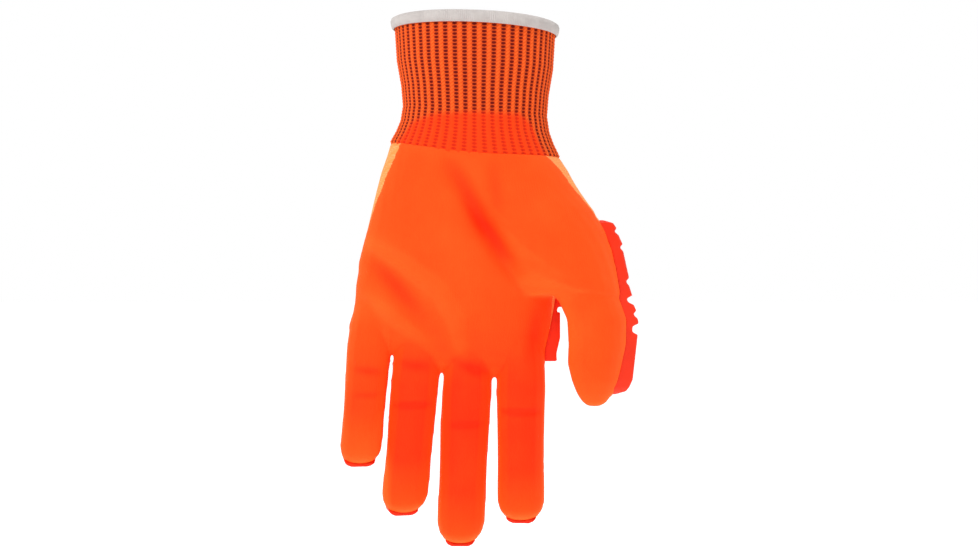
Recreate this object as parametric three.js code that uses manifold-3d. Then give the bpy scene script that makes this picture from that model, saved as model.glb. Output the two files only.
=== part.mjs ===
// Left-hand impact glove in its worn form, fingers down and palm towards -Y.
// A knitted liner with a ribbed cuff and a bound edge, a dipped coat over the palm side,
// and moulded rubber guards along the thumb, the fingers, the knuckles and the back of the hand.
// Millimetres, +Z up. The origin is the middle of the cuff's mouth.
// Every soft form is a stack of oval sections from cuff to fingertip. The tables below hold
// lengths as shares of the named sizes.
import * as THREE from "three";
import { mergeVertices } from "three/addons/utils/BufferGeometryUtils.js";
import Module from "manifold-3d";

const wasm = await Module();
wasm.setup();

// Cuff
const CUFF_LENGTH = 60.5; // mouth to the last row of ribs
const MOUTH_WIDTH = 78;
const MOUTH_DEPTH = 55;
const WRIST_WIDTH = 68;
const WRIST_DEPTH = 47;
const HEEL_WIDTH = 80.5; // where the ribs end and the hand begins
const HEEL_DEPTH = 49;
const MOUTH_SLOPE = 0.038; // fall of the mouth towards the thumb, per mm across
const HEEL_SLOPE = 0.088; // fall of the last row of ribs
const MOUTH_CROWN = 0.5; // rise of the mouth's front and back over its sides
const HEEL_CROWN = -3;
const HEEL_FADE = 0.25; // share of the palm's length over which that crown fades out
const RIB_COUNT = 52;
const RIB_HEIGHT = 0.8;
const CUFF_WALL = 1.3; // at the foot of the ribs
const BINDING_HEIGHT = 5;
const BINDING_THICKNESS = 4.4;
const BINDING_ROUND = 0.8; // of its edges

// Hand
const PALM_LENGTH = 105; // last row of ribs to the web between ring and middle finger
const PALM_WIDTH = 95;
const PALM_DEPTH = 33;
const WEB_SLOPE = 0.21; // fall of the line of finger webs towards the thumb
const WEB_ARCH = 10.5; // rise of that line towards both sides
const KNIT_WALL = 1.4;
const COAT_THICKNESS = 0.6; // the dip stands this far above the bare knit
const DIP_TURN = 26; // the edge of the dip swings forward to the thumb over this breadth
const FOLD_DEPTH = 3; // the crease at the ball of the thumb, and the others as shares of it
const BALL_BLEND = 7; // breadth of the soft valley beside the ball of the thumb
const ROOT_BLEND = 3; // and of those between the finger roots
const ROOT_SINK = 0.9; // a finger root sinks into the palm by this share of the way up it
const OVAL = 2; // power of an ellipse; the palm and the fingers are a little boxier
const PALM_SQUARE = 2.5;
const FINGER_SQUARE = 2.15;

// Thumb, with the ball of the thumb above it
const THUMB_REACH = 113; // from the heel to the thumb's tip
const THUMB_START = 6.3; // the ball begins this far below the ribs
const THUMB_SPREAD = 55.3; // from the middle of the mouth across to the thumb
const THUMB_FORE = 20; // how far the thumb stands in front of the palm's middle
const THUMB_WIDTH = 26.8;
const THUMB_DEPTH = 24;
const BALL_WIDTH = 54;
const BALL_DEPTH = 38;

// Guards
const GUARD_HEIGHT = 5.4;
const GUARD_WEB = 1.4; // rubber left at the foot of a flex notch, and between pads
const GUARD_CHAMFER = 1.2;
const GUARD_ROOT = 4.5; // how deep a strip reaches in before it is cut to its seat
const NOTCH_SHARE = 0.012; // slanted end of a block, share of the digit
const THUMB_GUARD_WIDTH = 17.5;
const THUMB_GUARD_TURN = 60; // from the hand's back towards the thumb side
const BALL_GUARD_TURN = 80; // and where it lies on the ball of the thumb
const FINGER_GUARD_WIDTH = 15;
const GUARD_OVERHANG = 2; // how far a fingertip guard runs past the tip
const END_WIDTH = 0.72; // width left at a strip's upper end
const BLOCK_LEAN = 0.9; // height of a block's upper end, share of its lower end
const KNUCKLE_SHARE = 0.86; // a knuckle pad's width, share of its finger's
const KNUCKLE_LENGTH = 21;
const KNUCKLE_RISE = 15; // knuckle pads' middles above the webs
const KNUCKLE_SHIFT = 3;
const BAR_WIDTH = 13;
const PAD_CORNER = 4;
const WRAP_FRONT = -2; // how far forward the knuckle guard wraps round the index side

// Clearances
const JOIN_GAP = 0.3; // between the cuff, its binding and the hand
const COAT_GAP = 0.3; // between the dipped half and the bare half
const SEAT_GAP = 0.3; // between a guard and what it is bonded to

// What follows from these
const CUFF_THICKNESS = CUFF_WALL + RIB_HEIGHT;
const BINDING_SKIN = (BINDING_THICKNESS - CUFF_THICKNESS) / 2 - JOIN_GAP;

// Facets
const PALM_SIDES = 44;
const THUMB_SIDES = 18;
const FINGER_SIDES = 12;
const INSIDE_SHARE = 0.67; // the insides of the digits have this share of the outer facets
const PLATE_SHARE = 0.8;
const MOUTH_SIDES = 36;
const DIP_STEPS = 48; // of the sheet along the edge of the dip, both ways

// Cutting
const CUT_SPARE = 1; // how far a cut runs past the end that it opens
const HOLLOW_RISE = 10; // how far the hand's hollow runs up past the heel
const REACH_FROM = 0.3; // a palm ring's points are sought from this share of the oval outwards
const REACH_TO = 3;
const REACH_STEP = 0.1;
const REACH_FINE = 1e-4;

const DEGREE = Math.PI / 180;

// The cuff from its mouth to the heel. down: share of the cuff's length; pinch: 0 at the mouth,
// 1 at the wrist; flare: 0 at the wrist, 1 at the heel.
const CUFF_ROWS = [
  { down: 0.0, pinch: 0.0, flare: 0.0 },
  { down: 0.1, pinch: 0.22, flare: 0.0 },
  { down: 0.34, pinch: 0.4, flare: 0.0 },
  { down: 0.54, pinch: 0.82, flare: 0.0 },
  { down: 0.7, pinch: 1.0, flare: 0.02 },
  { down: 0.82, pinch: 1.0, flare: 0.2 },
  { down: 0.91, pinch: 1.0, flare: 0.54 },
  { down: 1.0, pinch: 1.0, flare: 1.0 },
];

// The hand from the heel to the finger webs. down: share of PALM_LENGTH; across: middle of the
// section, share of PALM_WIDTH; open and thin: 0 with the heel's width or depth, 1 with the palm's;
// level: share of the way from the heel's slope to the web's; taper: depth left near the webs;
// ball: 1 where the section takes in the ball of the thumb, a half where only its outside does;
// under: how much the section stays inside the finger roots that it takes in; aim: how far from
// its middle towards the thumb its points are sought from, share of PALM_WIDTH.
const PALM_ROWS = [
  { down: 0.0, across: 0.0, open: 0.0, thin: 0.0, level: 0.0, taper: 1, ball: 0, under: 0, aim: 0 },
  { down: 0.06, across: -0.009, open: 0.12, thin: 0.12, level: 0.0, taper: 1, ball: 1, under: 0, aim: 0.03 },
  { down: 0.14, across: -0.034, open: 0.2, thin: 0.3, level: 0.0, taper: 1, ball: 1, under: 0, aim: 0.07 },
  { down: 0.23, across: -0.048, open: 0.35, thin: 0.48, level: 0.0, taper: 1, ball: 1, under: 0, aim: 0.12 },
  { down: 0.32, across: -0.06, open: 0.5, thin: 0.62, level: 0.0, taper: 1, ball: 1, under: 0, aim: 0.16 },
  { down: 0.4, across: -0.068, open: 0.65, thin: 0.73, level: 0.02, taper: 1, ball: 1, under: 0, aim: 0.19 },
  { down: 0.48, across: -0.076, open: 0.79, thin: 0.83, level: 0.05, taper: 1, ball: 1, under: 0, aim: 0.2 },
  { down: 0.55, across: -0.082, open: 0.91, thin: 0.9, level: 0.12, taper: 1, ball: 1, under: 0, aim: 0.2 },
  { down: 0.59, across: -0.085, open: 0.96, thin: 0.95, level: 0.17, taper: 1, ball: 0.5, under: 0, aim: 0.18 },
  { down: 0.625, across: -0.088, open: 0.9, thin: 1.0, level: 0.22, taper: 1, ball: 0, under: 0, aim: 0.15 },
  { down: 0.7, across: -0.099, open: 0.9, thin: 1.0, level: 0.37, taper: 0.95, ball: 0, under: 0, aim: 0.1 },
  { down: 0.77, across: -0.107, open: 0.83, thin: 1.0, level: 0.54, taper: 0.88, ball: 0, under: 0, aim: 0.05 },
  { down: 0.84, across: -0.117, open: 0.76, thin: 1.0, level: 0.73, taper: 0.78, ball: 0, under: 0, aim: 0.02 },
  { down: 0.91, across: -0.13, open: 0.72, thin: 1.0, level: 0.9, taper: 0.64, ball: 0, under: 0, aim: 0 },
  { down: 0.96, across: -0.138, open: 0.78, thin: 1.0, level: 1.0, taper: 0.46, ball: 0, under: 0.7, aim: 0 },
  { down: 1.0, across: -0.147, open: 0.85, thin: 1.0, level: 1.0, taper: 0.2, ball: 0, under: 9, aim: 0 },
];

// Fingers. across: root's place from the middle of the webs, share of PALM_WIDTH; lean: slant
// across the hand; turn: how far its back faces the thumb side.
const FINGERS = {
  little: { across: -0.38, length: 55.7, width: 20, depth: 17.8, lean: -3.8, turn: -10 },
  ring: { across: -0.144, length: 68, width: 22.2, depth: 19.4, lean: -4.7, turn: -14 },
  middle: { across: 0.107, length: 76.5, width: 22.8, depth: 19.8, lean: -2.2, turn: 0 },
  index: { across: 0.379, length: 66.5, width: 22.6, depth: 19.4, lean: -0.4, turn: 5 },
};

// One finger from inside the palm to its tip. down: share of its length below the web;
// fore: curl towards the palm, share of its length; wide, thick: shares of its width and depth;
// under: how much the stack stays below the palm's own surface there.
const FINGER_ROWS = [
  { down: -0.3, fore: 0.0, wide: 0.94, thick: 1.2, under: 1.5 },
  { down: -0.14, fore: 0.0, wide: 1.0, thick: 1.16, under: 0.3 },
  { down: 0.0, fore: 0.004, wide: 1.04, thick: 1.1, under: 0.0 },
  { down: 0.12, fore: 0.01, wide: 1.05, thick: 1.04, under: 0.0 },
  { down: 0.3, fore: 0.026, wide: 1.02, thick: 1.0, under: 0.0 },
  { down: 0.48, fore: 0.052, wide: 0.985, thick: 0.97, under: 0.0 },
  { down: 0.64, fore: 0.084, wide: 0.97, thick: 0.94, under: 0.0 },
  { down: 0.8, fore: 0.122, wide: 0.985, thick: 0.9, under: 0.0 },
  { down: 0.89, fore: 0.147, wide: 0.97, thick: 0.84, under: 0.0 },
  { down: 0.95, fore: 0.162, wide: 0.85, thick: 0.7, under: 0.0 },
  { down: 0.985, fore: 0.17, wide: 0.6, thick: 0.48, under: 0.0 },
  { down: 1.0, fore: 0.173, wide: 0.25, thick: 0.24, under: 0.0 },
];

// The thumb from the heel to its tip. down: share of THUMB_REACH; across: share of THUMB_SPREAD;
// fore: share of THUMB_FORE; ball: 1 at the ball of the thumb, 0 along the thumb; taper: its tip;
// under: how much the stack stays below the hand's own surface there.
const THUMB_ROWS = [
  { down: 0.0, across: 0.27, fore: 0.1, ball: 0.85, taper: 1, under: 2.0 },
  { down: 0.12, across: 0.425, fore: 0.26, ball: 0.93, taper: 1, under: 2.0 },
  { down: 0.22, across: 0.55, fore: 0.4, ball: 1.0, taper: 1, under: 2.0 },
  { down: 0.32, across: 0.66, fore: 0.53, ball: 0.91, taper: 1, under: 2.0 },
  { down: 0.42, across: 0.752, fore: 0.65, ball: 0.74, taper: 1, under: 3.5 },
  { down: 0.5, across: 0.835, fore: 0.75, ball: 0.48, taper: 1, under: 2.8 },
  { down: 0.57, across: 0.95, fore: 0.83, ball: 0.1, taper: 1, under: 0.8 },
  { down: 0.65, across: 1.015, fore: 0.9, ball: 0.0, taper: 1, under: 0.0 },
  { down: 0.75, across: 1.018, fore: 0.95, ball: 0.0, taper: 0.965, under: 0.0 },
  { down: 0.83, across: 0.996, fore: 0.99, ball: 0.0, taper: 0.91, under: 0.0 },
  { down: 0.9, across: 1.0, fore: 1.02, ball: 0.0, taper: 0.78, under: 0.0 },
  { down: 0.95, across: 0.996, fore: 1.04, ball: 0.0, taper: 0.6, under: 0.0 },
  { down: 0.985, across: 0.994, fore: 1.05, ball: 0.0, taper: 0.4, under: 0.0 },
  { down: 1.0, across: 0.992, fore: 1.05, ball: 0.0, taper: 0.2, under: 0.0 },
];
const THUMB_LEAVES = 0.42; // the thumb's own stack begins here, inside the ball

// Creases and ridges of the palm, each a soft stroke. from and to: [share of PALM_WIDTH from the
// middle, share of PALM_LENGTH down]; lift: share of FOLD_DEPTH, positive towards the viewer;
// spread: half-breadth, share of PALM_WIDTH.
const FOLDS = [
  { from: [-0.1, 0.1], to: [0.035, 0.33], lift: -0.6, spread: 0.06 },
  { from: [0.035, 0.33], to: [0.11, 0.44], lift: -0.7, spread: 0.055 },
  { from: [0.11, 0.44], to: [0.2, 0.56], lift: -0.5, spread: 0.05 },
  { from: [-0.52, 0.42], to: [-0.34, 0.52], lift: 0.4, spread: 0.035 },
  { from: [-0.34, 0.52], to: [-0.17, 0.66], lift: 0.45, spread: 0.035 },
  { from: [-0.17, 0.66], to: [-0.07, 0.86], lift: 0.4, spread: 0.035 },
  { from: [-0.46, 0.54], to: [-0.3, 0.71], lift: -0.4, spread: 0.035 },
  { from: [-0.5, 0.66], to: [-0.26, 0.88], lift: 0.3, spread: 0.035 },
];

// The edge of the dip in front of (-) or behind (+) the middle of the hand or digit.
// down: share of PALM_LENGTH below the last ribs; edge: share of PALM_DEPTH.
const DIP_ROWS = [
  { down: -0.2, edge: -0.4 },
  { down: 0.0, edge: -0.38 },
  { down: 0.15, edge: -0.3 },
  { down: 0.35, edge: -0.14 },
  { down: 0.6, edge: 0.0 },
  { down: 2.0, edge: 0.06 },
];

// Blocks of the thumb guard. from, to: shares of THUMB_REACH; foot: how much of the height is
// left at the notch that follows, 0 being down to the web.
const THUMB_BLOCKS = [
  { from: 0.243, to: 0.289, foot: 0.6 },
  { from: 0.293, to: 0.355, foot: 0.6 },
  { from: 0.36, to: 0.494, foot: 0.6 },
  { from: 0.502, to: 0.566, foot: 0.1 },
  { from: 0.58, to: 0.628, foot: 0.5 },
  { from: 0.636, to: 0.68, foot: 0.0 },
  { from: 0.702, to: 0.955, foot: 0.0 },
];

// Blocks of a finger guard, as shares of the finger's length.
const FINGER_BLOCKS = [
  { from: 0.2, to: 0.36, foot: 0.1 },
  { from: 0.39, to: 0.56, foot: 0.0 },
  { from: 0.62, to: 1.0, foot: 0.0 },
];

// How a strip narrows to its round lower end. back: share of the digit before the end; wide:
// share of the strip's width.
const END_ROWS = [
  { back: 0.06, wide: 1.0 },
  { back: 0.03, wide: 0.92 },
  { back: 0.012, wide: 0.76 },
];
const END_TIP = 0.5; // width left at the end itself

// Outlines on the back of the hand, as [share of PALM_WIDTH across, share of PALM_LENGTH down].
const KNUCKLE_PLATE = [
  [-0.47, 0.82], [-0.22, 0.9], [0.05, 0.95], [0.4, 0.95], [0.45, 0.6], [0.2, 0.64],
  [-0.1, 0.7], [-0.45, 0.62],
];
const BACK_PLATE = [[-0.4, 0.56], [-0.1, 0.64], [0.26, 0.56], [0.16, 0.16], [-0.22, 0.16]];

// Blocks where the knuckle guard wraps round the index side: shares of PALM_LENGTH down and,
// from SIDE_FROM out to edge, of PALM_WIDTH across.
const SIDE_BLOCKS = [
  { from: 0.6, to: 0.71, edge: 0.455 },
  { from: 0.735, to: 0.955, edge: 0.425 },
];
const SIDE_FROM = 0.3;

// Raised bars on the back of the hand.
const BACK_BARS = [
  { x: -0.26, down: 0.38, length: 0.36, tilt: -10 },
  { x: -0.08, down: 0.4, length: 0.4, tilt: -4 },
  { x: 0.11, down: 0.38, length: 0.36, tilt: 6 },
];

function mix(a, b, share) {
  return a + (b - a) * share;
}

// Every column of a table at one value of its first column, by straight lines between rows.
function rowAt(rows, value) {
  const next = rows.findIndex((row) => row.down >= value);
  if (next === 0) return rows[0];
  if (next < 0) return rows[rows.length - 1];
  const [a, b] = [rows[next - 1], rows[next]];
  const share = (value - a.down) / (b.down - a.down);
  return Object.fromEntries(Object.keys(a).map((key) => [key, mix(a[key], b[key], share)]));
}

// How far the folds push the palm's surface out at a place on it.
function foldLift(x, z) {
  let lift = 0;
  for (const fold of FOLDS) {
    const [ax, az] = [fold.from[0] * PALM_WIDTH, -CUFF_LENGTH - fold.from[1] * PALM_LENGTH];
    const [bx, bz] = [fold.to[0] * PALM_WIDTH, -CUFF_LENGTH - fold.to[1] * PALM_LENGTH];
    const along = ((x - ax) * (bx - ax) + (z - az) * (bz - az)) / ((bx - ax) ** 2 + (bz - az) ** 2);
    const t = Math.min(1, Math.max(0, along));
    const away = Math.hypot(x - mix(ax, bx, t), z - mix(az, bz, t)) / (fold.spread * PALM_WIDTH);
    lift += fold.lift * FOLD_DEPTH * Math.exp(-away * away);
  }
  return lift;
}

// Sections of the cuff, the palm, a finger and the thumb. Each has its middle, width and depth,
// and where it isn't level a slope across and a crown or arch towards its edges.
function cuffSection(down) {
  const row = rowAt(CUFF_ROWS, down);
  return {
    x: PALM_ROWS[0].across * PALM_WIDTH * down,
    y: 0,
    z: -down * CUFF_LENGTH,
    width: mix(mix(MOUTH_WIDTH, WRIST_WIDTH, row.pinch), HEEL_WIDTH, row.flare),
    depth: mix(mix(MOUTH_DEPTH, WRIST_DEPTH, row.pinch), HEEL_DEPTH, row.flare),
    slope: mix(MOUTH_SLOPE, HEEL_SLOPE, down),
    crown: mix(MOUTH_CROWN, HEEL_CROWN, down),
    square: OVAL,
  };
}

function palmSection(row) {
  return {
    x: row.across * PALM_WIDTH,
    y: 0,
    z: -CUFF_LENGTH - row.down * PALM_LENGTH,
    width: mix(HEEL_WIDTH, PALM_WIDTH, row.open),
    depth: mix(HEEL_DEPTH, PALM_DEPTH, row.thin) * row.taper,
    slope: mix(HEEL_SLOPE, WEB_SLOPE, row.level),
    crown: HEEL_CROWN * Math.max(0, 1 - row.down / HEEL_FADE),
    arch: WEB_ARCH * row.level,
    square: mix(OVAL, PALM_SQUARE, Math.min(1, row.open)),
  };
}

function webHeight(x) {
  return heightAt(palmSection(PALM_ROWS[PALM_ROWS.length - 1]), x, 0);
}

function rootAcross(finger) {
  return (PALM_ROWS[PALM_ROWS.length - 1].across + finger.across) * PALM_WIDTH;
}

function rootHeight(finger) {
  return webHeight(rootAcross(finger));
}

function fingerDown(finger, z) {
  return (rootHeight(finger) - z) / finger.length;
}

function thumbDown(z) {
  return (-CUFF_LENGTH - THUMB_START - z) / THUMB_REACH;
}

function fingerSection(finger, down) {
  const row = rowAt(FINGER_ROWS, down);
  const drop = finger.length * down;
  return {
    x: rootAcross(finger) + drop * Math.tan(finger.lean * DEGREE),
    y: -row.fore * finger.length,
    z: rootHeight(finger) - drop,
    width: finger.width * row.wide,
    depth: finger.depth * row.thick,
    square: FINGER_SQUARE,
  };
}

function thumbSection(down) {
  const row = rowAt(THUMB_ROWS, down);
  return {
    x: row.across * THUMB_SPREAD,
    y: -row.fore * THUMB_FORE,
    z: -CUFF_LENGTH - THUMB_START - down * THUMB_REACH,
    width: mix(THUMB_WIDTH, BALL_WIDTH, row.ball) * row.taper,
    depth: mix(THUMB_DEPTH, BALL_DEPTH, row.ball) * row.taper,
    square: OVAL,
  };
}

// Height of a section's own sheet at x, n being 1 at its front and back and 0 at its sides.
function heightAt(s, x, n) {
  const edge = Math.min(1, Math.abs(x - s.x) / (s.width / 2));
  return s.z - (s.slope ?? 0) * (x - s.x) + (s.arch ?? 0) * edge * edge + (s.crown ?? 0) * n * n;
}

// One oval section as a ring of points, its surface moved out by grow. A square of 2 is an
// ellipse and more is boxier.
function ring(s, sides, grow = 0, wave = () => 0) {
  const points = [];
  for (let i = 0; i < sides; i++) {
    const turn = (2 * Math.PI * i) / sides;
    const [c, n] = [Math.cos(turn), Math.sin(turn)];
    const power = 2 / s.square;
    const out = grow + wave(i);
    const x = s.x + (s.width / 2 + out) * Math.sign(c) * Math.abs(c) ** power;
    const y = s.y + (s.depth / 2 + out) * Math.sign(n) * Math.abs(n) ** power;
    points.push(new THREE.Vector3(x, y, heightAt(s, x, n)));
  }
  return points;
}

// How far a place lies outside an oval section, below 0 being inside.
function outside(s, x, y, grow) {
  const [a, b] = [Math.max(1, s.width / 2 + grow), Math.max(1, s.depth / 2 + grow)];
  const reach = (Math.abs((x - s.x) / a) ** s.square + Math.abs((y - s.y) / b) ** s.square);
  return (reach ** (1 / s.square) - 1) * Math.min(a, b);
}

function softMin(a, b, blend) {
  const near = Math.max(blend - Math.abs(a - b), 0) / blend;
  return Math.min(a, b) - (near * near * blend) / 4;
}

// A ring of the palm: its own oval run softly together with the ball of the thumb and with the
// finger roots, and pushed in and out by the folds on its front.
function palmRing(row, sides, grow, ballFrom) {
  const s = palmSection(row);
  const points = [];
  for (let i = 0; i < sides; i++) {
    const turn = (2 * Math.PI * i) / sides;
    const [c, n] = [Math.cos(turn), Math.sin(turn)];
    const place = (reach) => {
      const x = s.x + row.aim * PALM_WIDTH + (reach * c * s.width) / 2;
      const y = s.y + (reach * n * s.depth) / 2;
      const z = heightAt(s, x, n);
      let gap = outside(s, x, y, grow);
      if (row.ball > ballFrom) {
        gap = softMin(gap, outside(thumbSection(thumbDown(z)), x, y, grow), BALL_BLEND);
      }
      for (const finger of Object.values(FINGERS)) {
        const root = outside(fingerSection(finger, fingerDown(finger, z)), x, y, grow - row.under);
        const rise = Math.max(0, z - rootHeight(finger));
        gap = softMin(gap, root + rise * ROOT_SINK, ROOT_BLEND);
      }
      return { gap, x, y, z };
    };
    let reach = REACH_FROM;
    for (let step = REACH_STEP; step > REACH_FINE; step /= 2) {
      while (reach < REACH_TO && place(reach + step).gap < 0) reach += step;
    }
    const { x, y, z } = place(reach);
    const lift = n < 0 ? foldLift(x, z) * n * n : 0;
    points.push(new THREE.Vector3(x, y - lift, z));
  }
  return points;
}

// A closed solid through a stack of rings from top to bottom. An end is closed by a strip between
// both halves of its ring, which follows its slope and arch, or by a fan from the ring's middle.
function stack(rings, fan = false) {
  const sides = rings[0].length;
  const middle = (r) => r.reduce((sum, p) => sum.add(p), new THREE.Vector3()).divideScalar(sides);
  const points = rings.flat();
  const foot = (rings.length - 1) * sides;
  const faces = [];
  for (let i = 0; i < sides; i++) {
    const j = (i + 1) % sides;
    for (let k = 0; k < rings.length - 1; k++) {
      const [a, b] = [k * sides + i, k * sides + j];
      const [c, d] = [a + sides, b + sides];
      faces.push(a, c, d, a, d, b);
    }
    if (fan) faces.push(points.length, i, j, points.length + 1, foot + j, foot + i);
  }
  if (fan) points.push(middle(rings[0]), middle(rings[rings.length - 1]));
  for (let i = 0; !fan && 2 * i < sides - 2; i++) {
    const [a, b, c, d] = [i, i + 1, sides - 2 - i, sides - 1 - i];
    faces.push(a, b, d, foot + a, foot + d, foot + b);
    if (b < c) faces.push(b, c, d, foot + b, foot + d, foot + c);
  }
  const geometry = new THREE.BufferGeometry();
  const numbers = points.flatMap((p) => p.toArray());
  geometry.setAttribute("position", new THREE.Float32BufferAttribute(numbers, 3));
  geometry.setIndex(faces);
  return solid(geometry);
}

// A closed geometry as a manifold-3d solid, and back.
function solid(geometry) {
  const bare = geometry.clone();
  bare.deleteAttribute("normal");
  bare.deleteAttribute("uv");
  const merged = mergeVertices(bare, 1e-4);
  return new wasm.Manifold(
    new wasm.Mesh({
      numProp: 3,
      vertProperties: merged.attributes.position.array,
      triVerts: new Uint32Array(merged.index.array),
    }),
  );
}

function geometryOf(made) {
  const mesh = made.getMesh();
  const geometry = new THREE.BufferGeometry();
  geometry.setAttribute("position", new THREE.BufferAttribute(mesh.vertProperties, 3));
  geometry.setIndex(new THREE.BufferAttribute(mesh.triVerts, 1));
  geometry.computeVertexNormals();
  return geometry;
}

function joined(solids) {
  return solids.reduce((a, b) => a.add(b));
}

function lowered(points, drop) {
  return points.map((p) => new THREE.Vector3(p.x, p.y, p.z - drop));
}

// The whole hand as one closed solid, its surface and its tips moved out by grow. detail is a
// share of the digits' facets; raise carries the flat top up past the heel; ballFrom leaves the last section with the
// ball of the thumb out, so that the web of the thumb keeps its wall.
function handSolid(grow, detail = 1, raise = 0, ballFrom = 0) {
  const sides = (full) => Math.round(full * detail);
  const closed = (rings) => {
    const end = lowered(rings[rings.length - 1], grow);
    const kept = (p, i) => new THREE.Vector3(p.x, p.y, Math.max(p.z, end[i].z));
    return [...rings.slice(0, -1).map((points) => points.map(kept)), end];
  };
  const palm = PALM_ROWS.map((row) => palmRing(row, PALM_SIDES, grow, ballFrom));
  if (raise) palm.unshift(lowered(palm[0], -raise));
  const thumb = THUMB_ROWS.filter((row) => row.down >= THUMB_LEAVES).map((row) =>
    ring(thumbSection(row.down), sides(THUMB_SIDES), grow - row.under),
  );
  const fingers = Object.values(FINGERS).map((finger) =>
    FINGER_ROWS.map((row) =>
      ring(fingerSection(finger, row.down), sides(FINGER_SIDES), grow - row.under),
    ),
  );
  return joined([palm, thumb, ...fingers].map((rings) => stack(closed(rings))));
}

// Where the dipped half ends and the bare half begins: a sheet through the hand and its digits.
function dipEdge(x, z) {
  const thumb = thumbSection(thumbDown(z));
  const share = Math.min(1, Math.max(0, (x - thumb.x + DIP_TURN) / DIP_TURN));
  let middle = 0;
  if (z < webHeight(x)) {
    const sections = Object.values(FINGERS).map((finger) =>
      fingerSection(finger, fingerDown(finger, z)),
    );
    middle = sections.reduce((a, b) => (Math.abs(x - a.x) < Math.abs(x - b.x) ? a : b)).y;
  }
  const edge = rowAt(DIP_ROWS, (-CUFF_LENGTH - z) / PALM_LENGTH).edge;
  return mix(middle, thumb.y, share) + edge * PALM_DEPTH;
}

// The space behind that sheet, moved back by shift.
function behindDip(shift) {
  const rows = [];
  for (let k = 0; k <= DIP_STEPS; k++) {
    const z = mix(-CUFF_LENGTH / 2, -CUFF_LENGTH - 2 * PALM_LENGTH, k / DIP_STEPS);
    const row = [];
    for (let i = 0; i <= DIP_STEPS; i++) {
      const x = mix(-PALM_WIDTH, PALM_WIDTH, i / DIP_STEPS);
      row.push(new THREE.Vector3(x, dipEdge(x, z) + shift, z));
    }
    row.push(new THREE.Vector3(PALM_WIDTH, PALM_WIDTH, z));
    row.push(new THREE.Vector3(-PALM_WIDTH, PALM_WIDTH, z));
    rows.push(row);
  }
  return stack(rows, true);
}

// A ring of the cuff so far below its mouth.
function cuffRing(drop, sides, grow, wave) {
  const s = cuffSection(Math.max(0, drop / CUFF_LENGTH));
  return ring({ ...s, z: -drop }, sides, grow, wave);
}

// The cuff, its outer side ribbed from end to end.
function cuffSolid() {
  const ribs = (i) => (i % 2 ? -RIB_HEIGHT : 0);
  const drops = CUFF_ROWS.map((row) => row.down * CUFF_LENGTH);
  const outerDrops = [BINDING_SKIN + JOIN_GAP, ...drops.slice(1, -1), CUFF_LENGTH - JOIN_GAP];
  const innerDrops = [-CUT_SPARE, ...drops.slice(1, -1), CUFF_LENGTH + CUT_SPARE];
  const outer = stack(outerDrops.map((drop) => cuffRing(drop, 2 * RIB_COUNT, 0, ribs)));
  const inner = stack(innerDrops.map((drop) => cuffRing(drop, MOUTH_SIDES, -CUFF_THICKNESS)));
  return outer.subtract(inner);
}

// The binding, folded over the cuff's edge: rounded outside, with a groove for the edge.
function bindingSolid() {
  const out = BINDING_SKIN + JOIN_GAP;
  const rings = (rows) => stack(rows.map(([drop, grow]) => cuffRing(drop, MOUTH_SIDES, grow)));
  const body = rings([
    [0, out - BINDING_ROUND],
    [BINDING_ROUND, out],
    [BINDING_HEIGHT - BINDING_ROUND, out],
    [BINDING_HEIGHT, out - BINDING_ROUND],
  ]);
  const bore = rings([
    [-CUT_SPARE, BINDING_ROUND / 2 - CUFF_THICKNESS - out],
    [BINDING_ROUND, -CUFF_THICKNESS - out],
    [BINDING_HEIGHT + CUT_SPARE, -CUFF_THICKNESS - out],
  ]);
  const grooveOut = rings([
    [BINDING_SKIN, JOIN_GAP],
    [BINDING_HEIGHT + CUT_SPARE, JOIN_GAP],
  ]);
  const grooveIn = rings([
    [BINDING_SKIN - CUT_SPARE, -CUFF_THICKNESS - JOIN_GAP],
    [BINDING_HEIGHT + 2 * CUT_SPARE, -CUFF_THICKNESS - JOIN_GAP],
  ]);
  return body.subtract(bore).subtract(grooveOut.subtract(grooveIn));
}

// A chamfered bar down a digit's back, standing out at the angle turn, with a notch after each
// block. overhang carries its end past the digit's tip.
function guardStrip(sectionAt, turnAt, width, blocks, overhang) {
  const bar = (down, height, wide) => {
    const s = sectionAt(down);
    const turn = turnAt(down) * DEGREE;
    const [out, side] = [[Math.sin(turn), Math.cos(turn)], [Math.cos(turn), -Math.sin(turn)]];
    const skin = 1 / Math.hypot(out[0] / (s.width / 2), out[1] / (s.depth / 2));
    const [w, h] = [(width * wide) / 2, skin + SEAT_GAP + height];
    const c = Math.min(GUARD_CHAMFER, height / 2);
    const low = skin - GUARD_ROOT;
    const outline = [[-w, low], [w, low], [w, h - c], [w - c, h], [c - w, h], [-w, h - c]];
    return outline.map(([a, b]) => new THREE.Vector3(
      s.x + a * side[0] + b * out[0],
      s.y + a * side[1] + b * out[1],
      s.z,
    ));
  };
  const rings = [];
  let foot = GUARD_WEB;
  for (const block of blocks) {
    const last = block === blocks[blocks.length - 1];
    const to = block.to + (last ? overhang : 0);
    rings.push(bar(block.from, foot, rings.length ? 1 : END_WIDTH));
    rings.push(bar(block.from + NOTCH_SHARE, GUARD_HEIGHT * BLOCK_LEAN, 1));
    foot = mix(GUARD_WEB, GUARD_HEIGHT, block.foot);
    if (last) rings.push(...END_ROWS.map((row) => bar(to - row.back, GUARD_HEIGHT, row.wide)));
    else rings.push(bar(to - NOTCH_SHARE, GUARD_HEIGHT, 1));
    rings.push(bar(to, foot, last ? END_TIP : 1));
  }
  return stack(rings);
}

// An upright block over an outline of [across, up] corners, from y = near to y = far.
function prism(corners, near, far) {
  const shape = new THREE.Shape(corners.map(([x, z]) => new THREE.Vector2(x, z)));
  const geometry = new THREE.ExtrudeGeometry(shape, { depth: far - near, bevelEnabled: false });
  geometry.rotateX(Math.PI / 2).translate(0, far, 0);
  return solid(geometry);
}

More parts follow.
